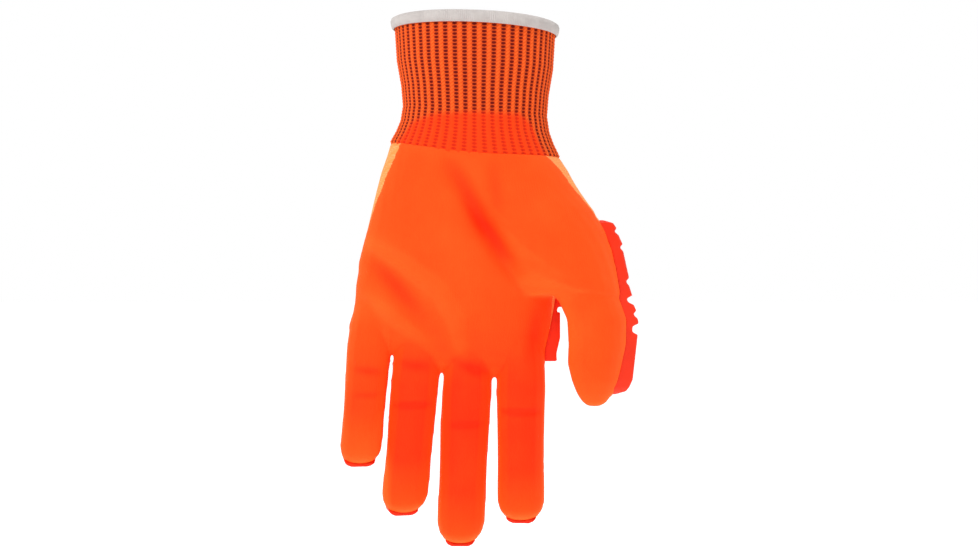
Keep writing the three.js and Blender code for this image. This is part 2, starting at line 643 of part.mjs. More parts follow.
// A rectangle with cut corners, turned by tilt.
function padCorners({ x, z, width, length, tilt }) {
  const [w, l, cut] = [width / 2, length / 2, PAD_CORNER];
  const corners = [
    [-w + cut, -l], [w - cut, -l], [w, -l + cut], [w, l - cut],
    [w - cut, l], [-w + cut, l], [-w, l - cut], [-w, -l + cut],
  ];
  const [c, s] = [Math.cos(tilt * DEGREE), Math.sin(tilt * DEGREE)];
  return corners.map(([a, b]) => [x + a * c - b * s, z + a * s + b * c]);
}

// Pads on a thin plate, all following the hand's surface.
function padGuard(plate, pads, near) {
  const far = PALM_WIDTH;
  const low = plate.map((corners) => prism(corners, near, far).intersect(skinWeb));
  const high = pads.map((corners) => prism(corners, near, far).intersect(skinGuard));
  return joined([...low, ...high]).subtract(seat);
}

// The hand: its outer faces, its hollow, and what the guards are cut and shaped by
const dipped = handSolid(0);
const bare = handSolid(-COAT_THICKNESS);
const hollow = handSolid(-COAT_THICKNESS - KNIT_WALL, INSIDE_SHARE, HOLLOW_RISE, 0.5);
const seat = handSolid(SEAT_GAP)
  .subtract(behindDip(COAT_GAP / 2 + SEAT_GAP))
  .add(handSolid(SEAT_GAP - COAT_THICKNESS));
const skinWeb = handSolid(SEAT_GAP + GUARD_WEB, PLATE_SHARE);
const skinGuard = handSolid(SEAT_GAP + GUARD_HEIGHT, INSIDE_SHARE);

const palmDip = dipped.subtract(hollow).subtract(behindDip(-COAT_GAP / 2));
const knitBack = bare.subtract(hollow).intersect(behindDip(COAT_GAP / 2));

const thumbTurn = (down) => mix(THUMB_GUARD_TURN, BALL_GUARD_TURN, rowAt(THUMB_ROWS, down).ball);
const thumbGuard = guardStrip(thumbSection, thumbTurn, THUMB_GUARD_WIDTH, THUMB_BLOCKS, 0);
const fingerGuard = (finger) =>
  guardStrip(
    (down) => fingerSection(finger, down),
    () => finger.turn,
    FINGER_GUARD_WIDTH,
    FINGER_BLOCKS,
    GUARD_OVERHANG / finger.length,
  );

// Knuckle pads stand over the finger roots; the last two wrap round the index side.
const knucklePads = Object.values(FINGERS).map((finger) => ({
  x: rootAcross(finger) + KNUCKLE_SHIFT,
  z: rootHeight(finger) + KNUCKLE_RISE,
  width: finger.width * KNUCKLE_SHARE,
  length: KNUCKLE_LENGTH,
  tilt: -finger.lean,
}));
const knuckles = padGuard(
  [KNUCKLE_PLATE.map(([x, z]) => [x * PALM_WIDTH, -CUFF_LENGTH - z * PALM_LENGTH])],
  [...knucklePads.map(padCorners), ...SIDE_BLOCKS.map(({ from, to, edge }) => [
    [SIDE_FROM * PALM_WIDTH, -CUFF_LENGTH - to * PALM_LENGTH],
    [edge * PALM_WIDTH, -CUFF_LENGTH - to * PALM_LENGTH],
    [edge * PALM_WIDTH, -CUFF_LENGTH - from * PALM_LENGTH],
    [SIDE_FROM * PALM_WIDTH, -CUFF_LENGTH - from * PALM_LENGTH],
  ])],
  WRAP_FRONT,
);
const backPads = padGuard(
  [BACK_PLATE.map(([x, z]) => [x * PALM_WIDTH, -CUFF_LENGTH - z * PALM_LENGTH])],
  BACK_BARS.map((bar) => padCorners({
    x: bar.x * PALM_WIDTH,
    z: -CUFF_LENGTH - bar.down * PALM_LENGTH,
    width: BAR_WIDTH,
    length: bar.length * PALM_LENGTH,
    tilt: bar.tilt,
  })),
  0,
);

const glove = new THREE.Group();
function addMesh(name, made, color, roughness) {
  const material = new THREE.MeshStandardMaterial({ color, roughness, metalness: 0 });
  const mesh = new THREE.Mesh(geometryOf(made), material);
  mesh.name = name;
  glove.add(mesh);
}
const [COAT, KNIT, RIB, THREAD, RUBBER] = [0xfd5723, 0xf88f4a, 0xff7e3f, 0xd8d2ce, 0xfc3c22];
addMesh("palm_dip", palmDip, COAT, 0.6);
addMesh("knit_back", knitBack, KNIT, 0.9);
addMesh("rib_cuff", cuffSolid(), RIB, 0.9);
addMesh("cuff_binding", bindingSolid(), THREAD, 0.85);
addMesh("thumb_guard", thumbGuard.subtract(seat), RUBBER, 0.5);
for (const [name, finger] of Object.entries(FINGERS)) {
  addMesh(`${name}_guard`, fingerGuard(finger).subtract(seat), RUBBER, 0.5);
}
addMesh("knuckle_guard", knuckles, RUBBER, 0.5);
addMesh("back_guard", backPads, RUBBER, 0.5);

export default glove;
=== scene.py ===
# %% [markdown]
# A left-hand impact glove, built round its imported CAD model: a knitted liner in bright orange,
# a dipped palm, a ribbed cuff with a bound edge and moulded rubber guards. The CAD model gives
# the frame and the sizes. Every piece made here sits over the solid that it stands for.

# %% Load the frame
import math
import bpy
import numpy as np
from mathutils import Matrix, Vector
from mathutils.bvhtree import BVHTree


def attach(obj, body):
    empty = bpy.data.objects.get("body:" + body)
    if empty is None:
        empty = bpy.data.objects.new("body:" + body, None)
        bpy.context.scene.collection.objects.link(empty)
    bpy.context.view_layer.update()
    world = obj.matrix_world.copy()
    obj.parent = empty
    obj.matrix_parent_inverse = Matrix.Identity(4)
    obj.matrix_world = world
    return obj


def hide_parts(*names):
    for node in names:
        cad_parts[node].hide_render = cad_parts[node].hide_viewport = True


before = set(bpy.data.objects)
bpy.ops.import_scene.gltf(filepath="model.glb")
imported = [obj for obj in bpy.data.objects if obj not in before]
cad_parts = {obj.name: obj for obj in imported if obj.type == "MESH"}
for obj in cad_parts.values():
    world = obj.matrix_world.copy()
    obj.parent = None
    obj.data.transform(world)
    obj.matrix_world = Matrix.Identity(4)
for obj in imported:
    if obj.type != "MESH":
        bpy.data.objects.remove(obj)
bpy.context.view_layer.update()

MM = 0.001

# %% [markdown]
# Colours are picked as sRGB hex values, the way a colour picker shows them. Blender's shaders
# want linear light, so one function turns them.

# %% Colours
def linear(hex_colour):
    parts = [int(hex_colour[i:i + 2], 16) / 255 for i in (1, 3, 5)]
    return [c / 12.92 if c <= 0.04045 else ((c + 0.055) / 1.055) ** 2.4 for c in parts] + [1.0]


# the dip's colours: its own orange, a paler painted light for rims, tips and undersides, and a deep
# red painted shade for folds and finger fronts
COAT_PAINTED_LIGHT = "#FF6420"
COAT_ORANGE = "#FF490E"
COAT_PAINTED_SHADE = "#FF2804"
KNIT_SHADED_DITCH = "#FF8A3C"
KNIT_PALE = "#FFB070"
RIB_ORANGE = "#EE5C1C"
RIB_PAINTED_SHADE = "#BC340A"
RIB_DIPPED = "#EC3C06"
GUTTER_MAROON = "#6A0A03"
GUTTER_DIPPED = "#D02404"
RUBBER_ORANGE = "#F43208"
RUBBER_DEEP = "#DC2404"
THREAD_GREY = "#ACA4A1"
THREAD_PALE = "#C6C0BC"
print("coat in linear light", [round(c, 3) for c in linear(COAT_ORANGE)])

# %% [markdown]
# Every finish is a small tree of shader nodes. One helper adds a node, sets its properties and
# fills or links its sockets, so that a finish reads as a short list of steps.

# %% Node helper
def add(tree, kind, inputs=None, **settings):
    made = tree.nodes.new(kind)
    for key, value in settings.items():
        setattr(made, key, value)
    for key, value in (inputs or {}).items():
        if isinstance(value, bpy.types.NodeSocket):
            tree.links.new(value, made.inputs[key])
        else:
            made.inputs[key].default_value = value
    return made


def material(name, **sockets):
    made = bpy.data.materials.new(name)
    made.use_nodes = True
    shader = made.node_tree.nodes["Principled BSDF"]
    for key, value in sockets.items():
        shader.inputs[key.replace("_", " ")].default_value = value
    return made, made.node_tree, shader


print("helpers ready")

# %% [markdown]
# The palm of such a glove is dipped in nitrile foam, which soaks into the knit and cures matt.
# The eye sees an orange skin with a faint print of the stitches under it and fine pores. The
# stitches run 1.3 mm apart and are drawn as a shallow bump; the pores of about 0.4 mm are drawn
# at 0.6 mm so that they show. Light and shade are also painted into the dip's colour: painted
# shade makes it deep red in front of the fingers and in the folds, and painted light makes it
# paler at the edges, the tips and the undersides. The finish reads that as a number from 0 to 1
# that the skin carries, 1 for the most painted shade.

# %% Stitch pattern
WALE = 1.3 * MM
COURSE = 1.0 * MM
PORE = 0.6 * MM


def stitches(tree):
    """Height of plain knit from 0 to 1: columns of slanted loops, by place on the piece."""
    place = add(tree, "ShaderNodeTexCoord").outputs["Object"]
    axes = add(tree, "ShaderNodeSeparateXYZ", {0: place})
    round_side = add(tree, "ShaderNodeMath", {0: axes.outputs["Y"], 1: 0.8}, operation="MULTIPLY")
    across = add(tree, "ShaderNodeMath", {0: axes.outputs["X"], 1: round_side.outputs[0]})
    wale = add(tree, "ShaderNodeMath", {0: across.outputs[0], 1: 1 / WALE}, operation="MULTIPLY")
    fold = add(tree, "ShaderNodeMath", {0: wale.outputs[0], 1: 0.5}, operation="PINGPONG")
    slant = add(tree, "ShaderNodeMath", {0: axes.outputs["Z"], 1: 1 / COURSE}, operation="MULTIPLY")
    shift = add(tree, "ShaderNodeMath", {0: fold.outputs[0], 1: 1.2, 2: slant.outputs[0]},
                operation="MULTIPLY_ADD")
    loop = add(tree, "ShaderNodeMath", {0: shift.outputs[0], 1: 0.5}, operation="PINGPONG")
    column = add(tree, "ShaderNodeMath", {0: fold.outputs[0], 1: loop.outputs[0]},
                 operation="MULTIPLY")
    full = add(tree, "ShaderNodeMath", {0: column.outputs[0], 1: 4.0}, operation="MULTIPLY")
    return full.outputs[0]


print("stitches", WALE / MM, "mm wide and", COURSE / MM, "mm high")


# %% Foam nitrile dip
def foam_nitrile():
    made, tree, shader = material(
        "foam_nitrile_dip", Roughness=0.7, Sheen_Weight=0.05, Sheen_Roughness=0.4,
        Specular_IOR_Level=0.1)
    shader.inputs["Sheen Tint"].default_value = linear("#FF8A40")
    place = add(tree, "ShaderNodeTexCoord").outputs["Object"]
    cloud = add(tree, "ShaderNodeTexNoise", {"Vector": place, "Scale": 45.0, "Detail": 4.0})
    pores = add(tree, "ShaderNodeTexNoise", {"Vector": place, "Scale": 1 / PORE, "Detail": 2.0})
    # painted light and shade: the skin's level picks the paler painted light colour near 0, the
    # dip's own orange at 0.5 and the deep red painted shade colour near 1, with a random cloud of
    # tone
    depth = add(tree, "ShaderNodeAttribute", attribute_name="painted_shade_level").outputs["Fac"]
    uneven = add(tree, "ShaderNodeMath", {0: cloud.outputs["Fac"], 1: 0.3, 2: -0.15},
                 operation="MULTIPLY_ADD")
    level = add(tree, "ShaderNodeMath", {0: depth, 1: uneven.outputs[0]})
    low = add(tree, "ShaderNodeMapRange", {"Value": level.outputs[0], "From Max": 0.5})
    high = add(tree, "ShaderNodeMapRange", {"Value": level.outputs[0], "From Min": 0.5})
    thin = add(tree, "ShaderNodeMix", {0: low.outputs[0], 6: linear(COAT_PAINTED_LIGHT),
                                       7: linear(COAT_ORANGE)}, data_type="RGBA")
    tint = add(tree, "ShaderNodeMix", {0: high.outputs[0], 6: thin.outputs[2],
                                       7: linear(COAT_PAINTED_SHADE)}, data_type="RGBA")
    tree.links.new(tint.outputs[2], shader.inputs["Base Color"])
    relief = add(tree, "ShaderNodeMath", {0: stitches(tree), 1: 0.6, 2: pores.outputs["Fac"]},
                 operation="MULTIPLY_ADD")
    bump = add(tree, "ShaderNodeBump", {"Height": relief.outputs[0], "Strength": 0.6,
                                        "Distance": 0.2 * MM})
    tree.links.new(bump.outputs[0], shader.inputs["Normal"])
    return made


COAT = foam_nitrile()
print(COAT.name)

# %% [markdown]
# The bare knit on the back is polyester yarn in plain stitch: matt, paler than the dip because
# its loops hold air, with a fuzz (sheen) that lights up at the edges. It's the same stitch
# pattern with a deeper bump, and painted shade makes the ditches between the columns darker.

# %% Polyester knit
def polyester_knit():
    made, tree, shader = material(
        "polyester_plain_knit", Roughness=0.85, Sheen_Weight=0.4, Sheen_Roughness=0.6,
        Specular_IOR_Level=0.2)
    shader.inputs["Sheen Tint"].default_value = linear("#FFC48C")
    height = stitches(tree)
    # painted shade: the ditches between the stitch columns take the darker colour, the loop tops
    # the pale one
    tint = add(tree, "ShaderNodeMix", {0: height, 6: linear(KNIT_SHADED_DITCH), 7: linear(KNIT_PALE)},
               data_type="RGBA")
    tree.links.new(tint.outputs[2], shader.inputs["Base Color"])
    bump = add(tree, "ShaderNodeBump", {"Height": height, "Strength": 0.8, "Distance": 0.3 * MM})
    tree.links.new(bump.outputs[0], shader.inputs["Normal"])
    return made


KNIT = polyester_knit()
print(KNIT.name)

# %% [markdown]
# The hand is one skin on the real glove, knitted without a seam. The CAD solids are faceted
# and split in two, so the skin is made from them: both halves and a plug in the mouth are
# melted together into small even faces, smoothed, and cut open again at the mouth. Melting
# (voxel remeshing) was chosen because it closes the hairline between the halves by itself.

# %% Mesh helpers
def new_object(name, verts, faces, *materials):
    mesh = bpy.data.meshes.new(name)
    mesh.from_pydata([tuple(v) for v in verts], [], [tuple(f) for f in faces])
    for one in materials:
        mesh.materials.append(one)
    made = bpy.data.objects.new(name, mesh)
    bpy.context.scene.collection.objects.link(made)
    mesh.polygons.foreach_set("use_smooth", [True] * len(mesh.polygons))
    return made


def world_mesh(node):
    """Corners and faces of a CAD node in the row frame."""
    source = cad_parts[node]
    corners = [source.matrix_world @ v.co for v in source.data.vertices]
    return corners, [tuple(p.vertices) for p in source.data.polygons]


def read_points(mesh):
    flat = np.empty(len(mesh.vertices) * 3)
    mesh.vertices.foreach_get("co", flat)
    return flat.reshape(-1, 3)


def write_points(mesh, points):
    mesh.vertices.foreach_set("co", points.ravel())
    mesh.update()


print("CAD nodes", sorted(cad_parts))


# %% Melt the halves together
HEEL_WIDTH, HEEL_DEPTH, HEEL_Z = 80.5 * MM, 49 * MM, -60.5 * MM
HEEL_SLOPE, HEEL_CROWN = 0.088, -3 * MM
PLUG_TOP, PLUG_FOOT, PLUG_INSET = 0.6 * MM, 3.0 * MM, 1 * MM
PLUG_SIDES = 48
SKIN_VOXEL = 0.85 * MM


def heel_height(x, y):
    return HEEL_Z - HEEL_SLOPE * x + HEEL_CROWN * (2 * y / HEEL_DEPTH) ** 2


def plug():
    """A slab that fills the mouth of the hand, following its sloping edge."""
    turns = np.linspace(0, 2 * np.pi, PLUG_SIDES, endpoint=False)
    verts, faces = [], []
    for drop in (PLUG_TOP, PLUG_FOOT):
        for share in (1.0, 0.5):
            for t in turns:
                x = share * (HEEL_WIDTH / 2 - PLUG_INSET) * math.cos(t)
                y = share * (HEEL_DEPTH / 2 - PLUG_INSET) * math.sin(t)
                verts.append((x, y, heel_height(x, y) - drop))
        verts.append((0, 0, heel_height(0, 0) - drop))
    count = PLUG_SIDES
    layer = 2 * count + 1
    for i in range(count):
        j = (i + 1) % count
        faces += [(i, j, count + j, count + i), (count + i, count + j, 2 * count)]
        faces += [(layer + j, layer + i, layer + count + i, layer + count + j)]
        faces += [(layer + count + j, layer + count + i, layer + 2 * count)]
        faces += [(j, i, layer + i, layer + j)]
    return verts, faces


# the middle of a narrow gap between two fingers, as (x, z) where it starts and lower down, and
# half the gap's width, in mm
GAPS = {
    "little and ring": ((-39.2, -158), (-41.3, -179), 0.85),
    "ring and middle": ((-15.6, -165.5), (-17.6, -187), 1.15),
}


def parted(corner):
    """The corner moved out of a finger gap, so that melting doesn't join the two fingers."""
    x, z = corner.x / MM, corner.z / MM
    for (x_top, z_top), (x_low, z_low), half in GAPS.values():
        middle = x_top + (x_low - x_top) * (z_top - z) / (z_top - z_low)
        if z_low < z < z_top and abs(x - middle) < half:
            return Vector(((middle + math.copysign(half, x - middle)) * MM, corner.y, corner.z))
    return corner


halves = {node: world_mesh(node) for node in ("palm_dip", "knit_back")}
trees = {node: BVHTree.FromPolygons(*half) for node, half in halves.items()}
# The halves stand a hairline apart. The back half's corners along that seam are pulled over
# the front half, so that melting seals the hand and gives one outer skin.
SEAM = 0.45 * MM
OVERLAP = 0.8 * MM
SMOOTHINGS = 16
verts, faces = plug()
for node, (corners, corner_faces) in halves.items():
    faces += [tuple(i + len(verts) for i in f) for f in corner_faces]
    for corner in corners:
        at_seam = node == "knit_back" and trees["palm_dip"].find_nearest(corner)[3] < SEAM
        verts.append(parted(corner - Vector((0, OVERLAP, 0)) if at_seam else corner))
rough = new_object("rough_skin", verts, faces)
melt = rough.modifiers.new("melt", "REMESH")
melt.mode = "VOXEL"
melt.voxel_size = SKIN_VOXEL
ease = rough.modifiers.new("ease", "SMOOTH")
ease.factor = 0.5
ease.iterations = SMOOTHINGS
graph = bpy.context.evaluated_depsgraph_get()
melted = bpy.data.meshes.new_from_object(rough.evaluated_get(graph))
bpy.data.objects.remove(rough)
print("melted faces", len(melted.polygons))

# %% Open the mouth again
RIM = 1.2 * MM
BELOW_HEEL = 5 * MM
FACING_UP = 0.3


def opened(mesh):
    """Corners and faces of the melted hand without the plug's faces over the mouth."""
    points = read_points(mesh)
    quads = np.array([list(face.vertices) for face in mesh.polygons])
    middle = points[quads].mean(axis=1)
    normal = np.array([face.normal for face in mesh.polygons])
    share = np.hypot(middle[:, 0] / (HEEL_WIDTH / 2 - RIM),
                     middle[:, 1] / (HEEL_DEPTH / 2 - RIM))
    heel = heel_height(middle[:, 0], middle[:, 1])
    near_heel = middle[:, 2] > heel - BELOW_HEEL
    over_mouth = (share < 1) & near_heel & (normal[:, 2] > FACING_UP)
    return points, quads[~over_mouth]


outer_points, outer_quads = opened(melted)
print("outer faces", len(outer_quads))

# %% [markdown]
# A worn glove creases where the hand bends. Each crease or ridge is a soft stroke along a few
# places on the palm, with a height and a breadth, and pushes the skin in or out along its own
# direction. Strokes were chosen over sculpting because they can be read and moved by number.

# %% Creases
# name: places (x, z) along the fold, lift at its middle, breadth, all in mm
CREASES = {
    "ball": (((-9.5, -71), (3.3, -95), (19, -118.5)), -1.8, 4.2),
    "heel": (((8.6, -68), (10.5, -92)), -0.6, 3.4),
    "heart line": (((-50, -104.5), (-34, -114), (-16.6, -127), (-8.6, -141), (-5.7, -157)),
                   1.4, 3.8),
    "under the heart line": (((-46, -115), (-36, -126), (-25, -138)), -1.3, 4.2),
    "pad": (((-50, -129), (-37, -141), (-21, -152)), 1.0, 3.2),
    "index side": (((31, -134), (29, -146), (28, -158)), -0.9, 4.4),
    "middle root": (((-8.6, -160), (0, -164), (8, -166)), -0.8, 2.8),
    "ring root": (((-36, -161), (-20, -163)), -0.7, 2.8),
    "little root": (((-57, -164), (-43, -165.5)), -0.8, 2.0),
    "little joint": (((-56, -176), (-44, -176)), -0.6, 1.6),
    "ring joint": (((-38.5, -181), (-20, -180.5)), -0.9, 1.6),
    "middle joint": (((-11, -190), (4, -189.5)), -0.6, 1.6),
    "index joint": (((10, -184), (31, -184)), -0.8, 1.7),
}


# how far along its fading curve a fold starts and ends, so that its ends stay faintly there
END_SHARE = 0.08


def crease_lift(points):
    """How far each place on the palm is pushed out, strongest in the middle of each fold."""
    total = np.zeros(len(points))
    flat = points[:, [0, 2]] / MM
    for places, height, breadth in CREASES.values():
        places = np.array(places)
        runs = np.diff(places, axis=0)
        lengths = np.hypot(runs[:, 0], runs[:, 1])
        nearest = np.full(len(points), np.inf)
        along = np.zeros(len(points))
        for start, run, length, done in zip(places, runs, lengths, np.cumsum(lengths) - lengths):
            t = np.clip((flat - start) @ run / length ** 2, 0, 1)
            away = np.hypot(*(flat - start - t[:, None] * run).T)
            closer = away < nearest
            nearest = np.where(closer, away, nearest)
            along = np.where(closer, (done + t * length) / lengths.sum(), along)
        fading = np.sin(np.pi * (END_SHARE + (1 - 2 * END_SHARE) * along)) ** 0.8
        total += height * MM * fading * np.exp(-(nearest / breadth) ** 2)
    return total


print("folds", len(CREASES))

# %% Crease the skin
# The skin also grows a little to sit over the CAD's walls, and more under the guards, so that
# they look bonded to it.
skin = new_object("hand_skin", outer_points, outer_quads, COAT, KNIT)
normals = np.array([v.normal for v in skin.data.vertices])
facing = np.clip((-normals[:, 1] - 0.15) / 0.4, 0, 1)
GROW = 0.25 * MM
UNDER_GUARD = 0.35 * MM
GUARD_REACH, GUARD_FADE = 1.6 * MM, 1 * MM
GUARDS = ["thumb_guard", "index_guard", "middle_guard", "ring_guard", "little_guard",
          "knuckle_guard", "back_guard"]
guard_trees = [BVHTree.FromPolygons(*world_mesh(node)) for node in GUARDS]


def near_guard(point):
    """1 where the skin lies under a guard, 0 from the guard's reach on."""
    far = 2 * GUARD_REACH
    away = min(tree.find_nearest(point, far)[3] or far for tree in guard_trees)
    return min(max((GUARD_REACH - away) / GUARD_FADE, 0), 1)


lift = crease_lift(outer_points) * facing
bonded = np.array([near_guard(Vector(p)) for p in outer_points])
creased = outer_points + normals * (GROW + UNDER_GUARD * bonded + lift)[:, None]
write_points(skin.data, creased)
print("skin faces", len(skin.data.polygons))

# %% Painted shade and light on the dip
# On the fingers the dip gets more painted shade than on the palm: how much, and between which
# heights in mm
PALM_SHADE, FINGER_SHADE, LITTLE_SHADE = 0.45, 0.88, 0.66
FINGERS_FROM, FINGERS_TO = -135, -172
THUMB_X, LITTLE_X = 38, -40
# across the glove, the height of the fingertips in mm: x, z
TIPS = np.array([(-60, -208), (-42, -208), (-38, -232), (-19, -232), (-15, -246), (6, -246),
                 (10, -236), (34, -236)])
TIP_REACH = 26
# how much painted shade is left at the edges and at the tips, where painted light shows,
# and how much painted shade a fold adds for each mm
RIM_SHADE_LEFT, TIP_SHADE_LEFT = 0.1, 0.45
SHADE_PER_MM = 0.3


# how much painted shade each corner of the skin gets: more on the finger fronts and in the folds,
# and painted light, as less shade, at the rims, the tips and the undersides
def painted_shade_level():
    x, z = outer_points[:, 0] / MM, outer_points[:, 2] / MM
    on_finger = np.clip((FINGERS_FROM - z) / (FINGERS_FROM - FINGERS_TO), 0, 1) * (x < THUMB_X)
    full = np.where(x < LITTLE_X, LITTLE_SHADE, FINGER_SHADE)
    depth = PALM_SHADE + (full - PALM_SHADE) * on_finger
    # painted light: less shade where the skin turns from the front, towards the fingertips and
    # under them
    front = np.clip((-normals[:, 1] - 0.05) / 0.85, 0, 1) ** 1.2
    edge = RIM_SHADE_LEFT + (1 - RIM_SHADE_LEFT) * front
    from_tip = np.clip((z - np.interp(x, TIPS[:, 0], TIPS[:, 1])) / TIP_REACH, 0, 1)
    tip = TIP_SHADE_LEFT + (1 - TIP_SHADE_LEFT) * np.where(x < THUMB_X, from_tip, 1)
    under = 1 - 0.8 * np.clip(-normals[:, 2] - 0.15, 0, 1)
    # painted shade in each fold, and a little painted light on each ridge
    fold = np.clip(-lift / MM, -0.5, 2) * SHADE_PER_MM
    return np.clip(depth * edge * tip * under + fold, 0, 1)


skin.data.attributes.new("painted_shade_level", "FLOAT", "POINT").data.foreach_set("value", painted_shade_level())
print("dip depth set")

# %% Which faces are dipped
EDGE_WOBBLE = 0.2 * MM
for face in skin.data.polygons:
    c = face.center
    wobble = EDGE_WOBBLE * math.sin(c.z / (2.1 * MM)) * math.sin(c.z / (0.9 * MM))
    spot = c + Vector((0, wobble, 0))
    to_dip = trees["palm_dip"].find_nearest(spot)[3]
    to_knit = trees["knit_back"].find_nearest(spot)[3]
    face.material_index = 0 if to_dip < to_knit else 1
print("dipped faces", sum(1 for f in skin.data.polygons if f.material_index == 0))

# %% [markdown]
# The liner's inner side shows through the mouth. It's the same skin moved in by the thickness
# of knit and dip and turned inside out, with far fewer faces, since it's only seen at a glance.

# %% Inner wall
WALL = 2.0 * MM
FACES_KEPT = 0.12
lining = new_object("skin_inside", creased - normals * WALL, outer_quads[:, ::-1], KNIT)
thin = lining.modifiers.new("fewer faces", "DECIMATE")
thin.ratio = FACES_KEPT
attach(skin, "root")
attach(lining, "root")
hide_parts("palm_dip", "knit_back")
print("inner wall made")

# %% [markdown]
# The cuff is knitted in rib: columns of loops that stand up, with narrow gutters between them
# where a dark elastic yarn shows as a row of dots. The ribs are real relief, one grid wrapped
# round the cuff with twelve faces to a rib, and the dots are drawn by a finish that reads where
# it is on the grid: how many ribs round and how many rows down. The cuff's foot is tucked into
# the rim of the hand, where a real cuff is knitted on to it.

# %% Cuff shape
RIBS = 52
ROWS = 40
CUFF_TOP, CUFF_FOOT = 1.3 * MM, 61.6 * MM
CUFF_LENGTH = -HEEL_Z
TOP_SLOPE, TOP_CROWN = 0.038, 0.5 * MM
# drop, width and depth of the cuff in mm
CUFF_TABLE = np.array([
    (0, 78.0, 55.0), (6, 75.8, 53.2), (20.6, 74.0, 51.8), (32.7, 69.8, 48.4),
    (42.4, 68.25, 47.0), (49.6, 70.5, 47.4), (55, 74.75, 48.1), (60.5, 80.5, 49.0),
])


def cuff_place(drop, turn, out):
    """A place on the cuff: so far below the mouth, so far round, so far out from its surface."""
    width = np.interp(drop / MM, CUFF_TABLE[:, 0], CUFF_TABLE[:, 1]) * MM / 2 + out
    depth = np.interp(drop / MM, CUFF_TABLE[:, 0], CUFF_TABLE[:, 2]) * MM / 2 + out
    share = np.clip(drop / CUFF_LENGTH, 0, 1)
    x = width * np.cos(turn)
    y = depth * np.sin(turn)
    slope = TOP_SLOPE + (HEEL_SLOPE - TOP_SLOPE) * share
    crown = TOP_CROWN + (HEEL_CROWN - TOP_CROWN) * share
    z = -drop - slope * x + crown * np.sin(turn) ** 2
    return np.stack([x, y, z], axis=-1)


def grid_faces(rows, columns):
    """Quads of a grid that closes on itself round its columns."""
    row, column = np.mgrid[0:rows - 1, 0:columns]
    beside = (column + 1) % columns
    quads = [row * columns + column, (row + 1) * columns + column,
             (row + 1) * columns + beside, row * columns + beside]
    return np.stack(quads, axis=-1).reshape(-1, 4)


print("cuff of", RIBS, "ribs and", ROWS, "rows")

# %% Ribbed cuff
FACES_TO_A_RIB, FACES_TO_A_ROW = 12, 3
AROUND, DOWN = RIBS * FACES_TO_A_RIB, ROWS * FACES_TO_A_ROW
RIB_RELIEF = 0.6 * MM
WALE_RELIEF, LOOP_RELIEF = 0.12 * MM, 0.1 * MM
TUCK, TUCK_FROM, TUCK_OVER = 0.5 * MM, 60 * MM, 1.2 * MM
turns = np.linspace(0, 2 * np.pi, AROUND, endpoint=False)
drops = np.linspace(CUFF_TOP, CUFF_FOOT, DOWN)
drop_grid, turn_grid = np.meshgrid(drops, turns, indexing="ij")
rib_at = turn_grid / (2 * np.pi) * RIBS
row_at = (drop_grid - CUFF_TOP) / (CUFF_FOOT - CUFF_TOP) * ROWS
crest = np.abs(np.sin(np.pi * rib_at)) ** 0.7
wales = WALE_RELIEF * np.cos(4 * np.pi * rib_at)
loops = LOOP_RELIEF * np.cos(2 * np.pi * row_at)
tucked = TUCK * np.clip((drop_grid - TUCK_FROM) / TUCK_OVER, 0, 1)
relief = -RIB_RELIEF * (1 - crest) + (wales + loops) * crest - tucked
cuff_points = cuff_place(drop_grid, turn_grid, relief).reshape(-1, 3)
print("cuff grid", AROUND, "by", DOWN)

# %% Where the dip runs up the cuff
# The upper edge of the dip's tongue over the front of the cuff, as places in mm: x, z
TONGUE = np.array([
    (-39, -60.5), (-36, -58), (-28.5, -48.6), (-18, -45.8), (0, -45.3), (21, -45.8),
    (26, -50), (31, -60.5), (35, -67),
])
NO_DIP_Z = -90
EDGE_BLUR = 3


def dipped_share(points):
    x, z = points[:, 0] / MM, points[:, 2] / MM
    top = np.interp(x, TONGUE[:, 0], TONGUE[:, 1], left=NO_DIP_Z, right=NO_DIP_Z)
    front = np.clip(-points[:, 1] / MM, 0, 1)
    return np.clip((top - z) / EDGE_BLUR + 0.5, 0, 1) * front


cuff_dip = dipped_share(cuff_points)
print("dipped share of the cuff", round(float(cuff_dip.mean()), 2))


# %% Rib finish
# The rib yarn is the same matt polyester, twisted, which shows as slanted lines drawn with painted
# shade between the strands, and painted shade also darkens the yarn towards the gutters. Where the
# dip has soaked in, the yarn goes redder and the dots of elastic only show faintly.
# half the width of a dot as a share of a rib, and half its height as a share of a row
DOT_WIDE, DOT_HIGH = 0.27, 0.4


